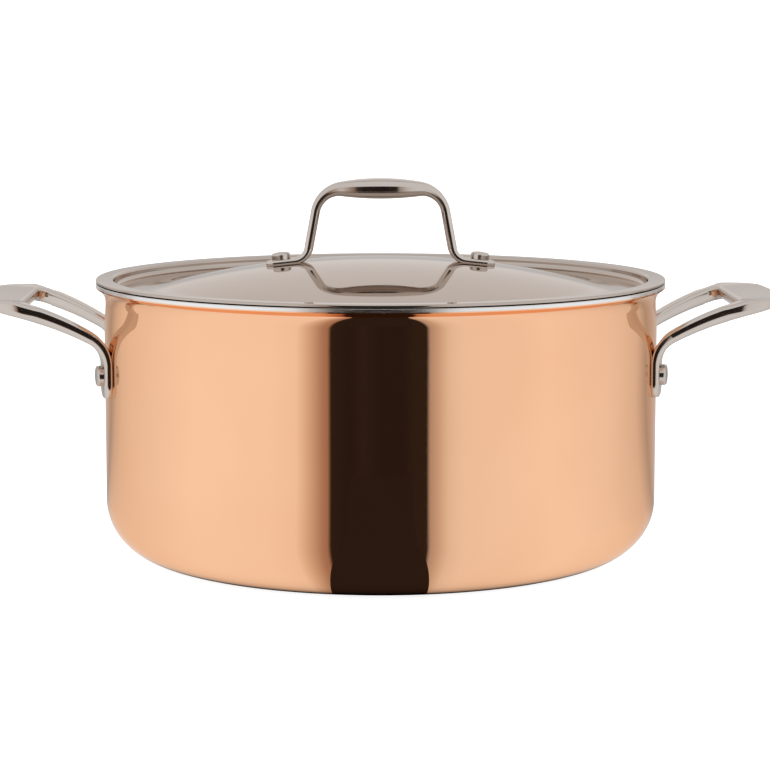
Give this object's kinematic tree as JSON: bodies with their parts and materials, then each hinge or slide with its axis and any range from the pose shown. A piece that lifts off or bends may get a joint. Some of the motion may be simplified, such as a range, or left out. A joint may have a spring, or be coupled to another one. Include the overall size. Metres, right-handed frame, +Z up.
{
  "type": "lidded copper stew pan",
  "caption": "Deep round copper-clad pan with a flared rim, two riveted loop handles and a low domed steel lid with a riveted arch handle.",
  "frame": {"origin": "middle of the underside of the base, where it stands on the worktop", "axes": "+Z up along the pan's axis, +X towards the right-hand side handle, +Y away from the picture's viewer"},
  "size_m": [0.4086, 0.293, 0.1937],
  "materials": {
    "copper": "mirror-polished copper",
    "core": "mill, sealed between the other plies",
    "liner": "fine brushed stainless steel",
    "cast_steel": "polished cast stainless steel",
    "rivet_steel": "polished stainless steel",
    "lid_steel": "mirror-polished stainless steel"
  },
  "bodies": {
    "pan": {"copper_outer_ply": "copper", "aluminium_core_ply": "core", "steel_inner_ply": "liner", "left_side_handle": "cast_steel", "right_side_handle": "cast_steel", "left_front_rivet": "rivet_steel", "left_back_rivet": "rivet_steel", "right_front_rivet": "rivet_steel", "right_back_rivet": "rivet_steel"},
    "lid": {"lid_shell": "lid_steel", "lid_handle": "cast_steel", "lid_left_rivet": "rivet_steel", "lid_right_rivet": "rivet_steel"}
  },
  "joints": [
    {"name": "lid_lift", "type": "slide", "parent": "pan", "child": "lid", "axis": [0, 0, 1], "range_m": [0, 0.2]}
  ]
}
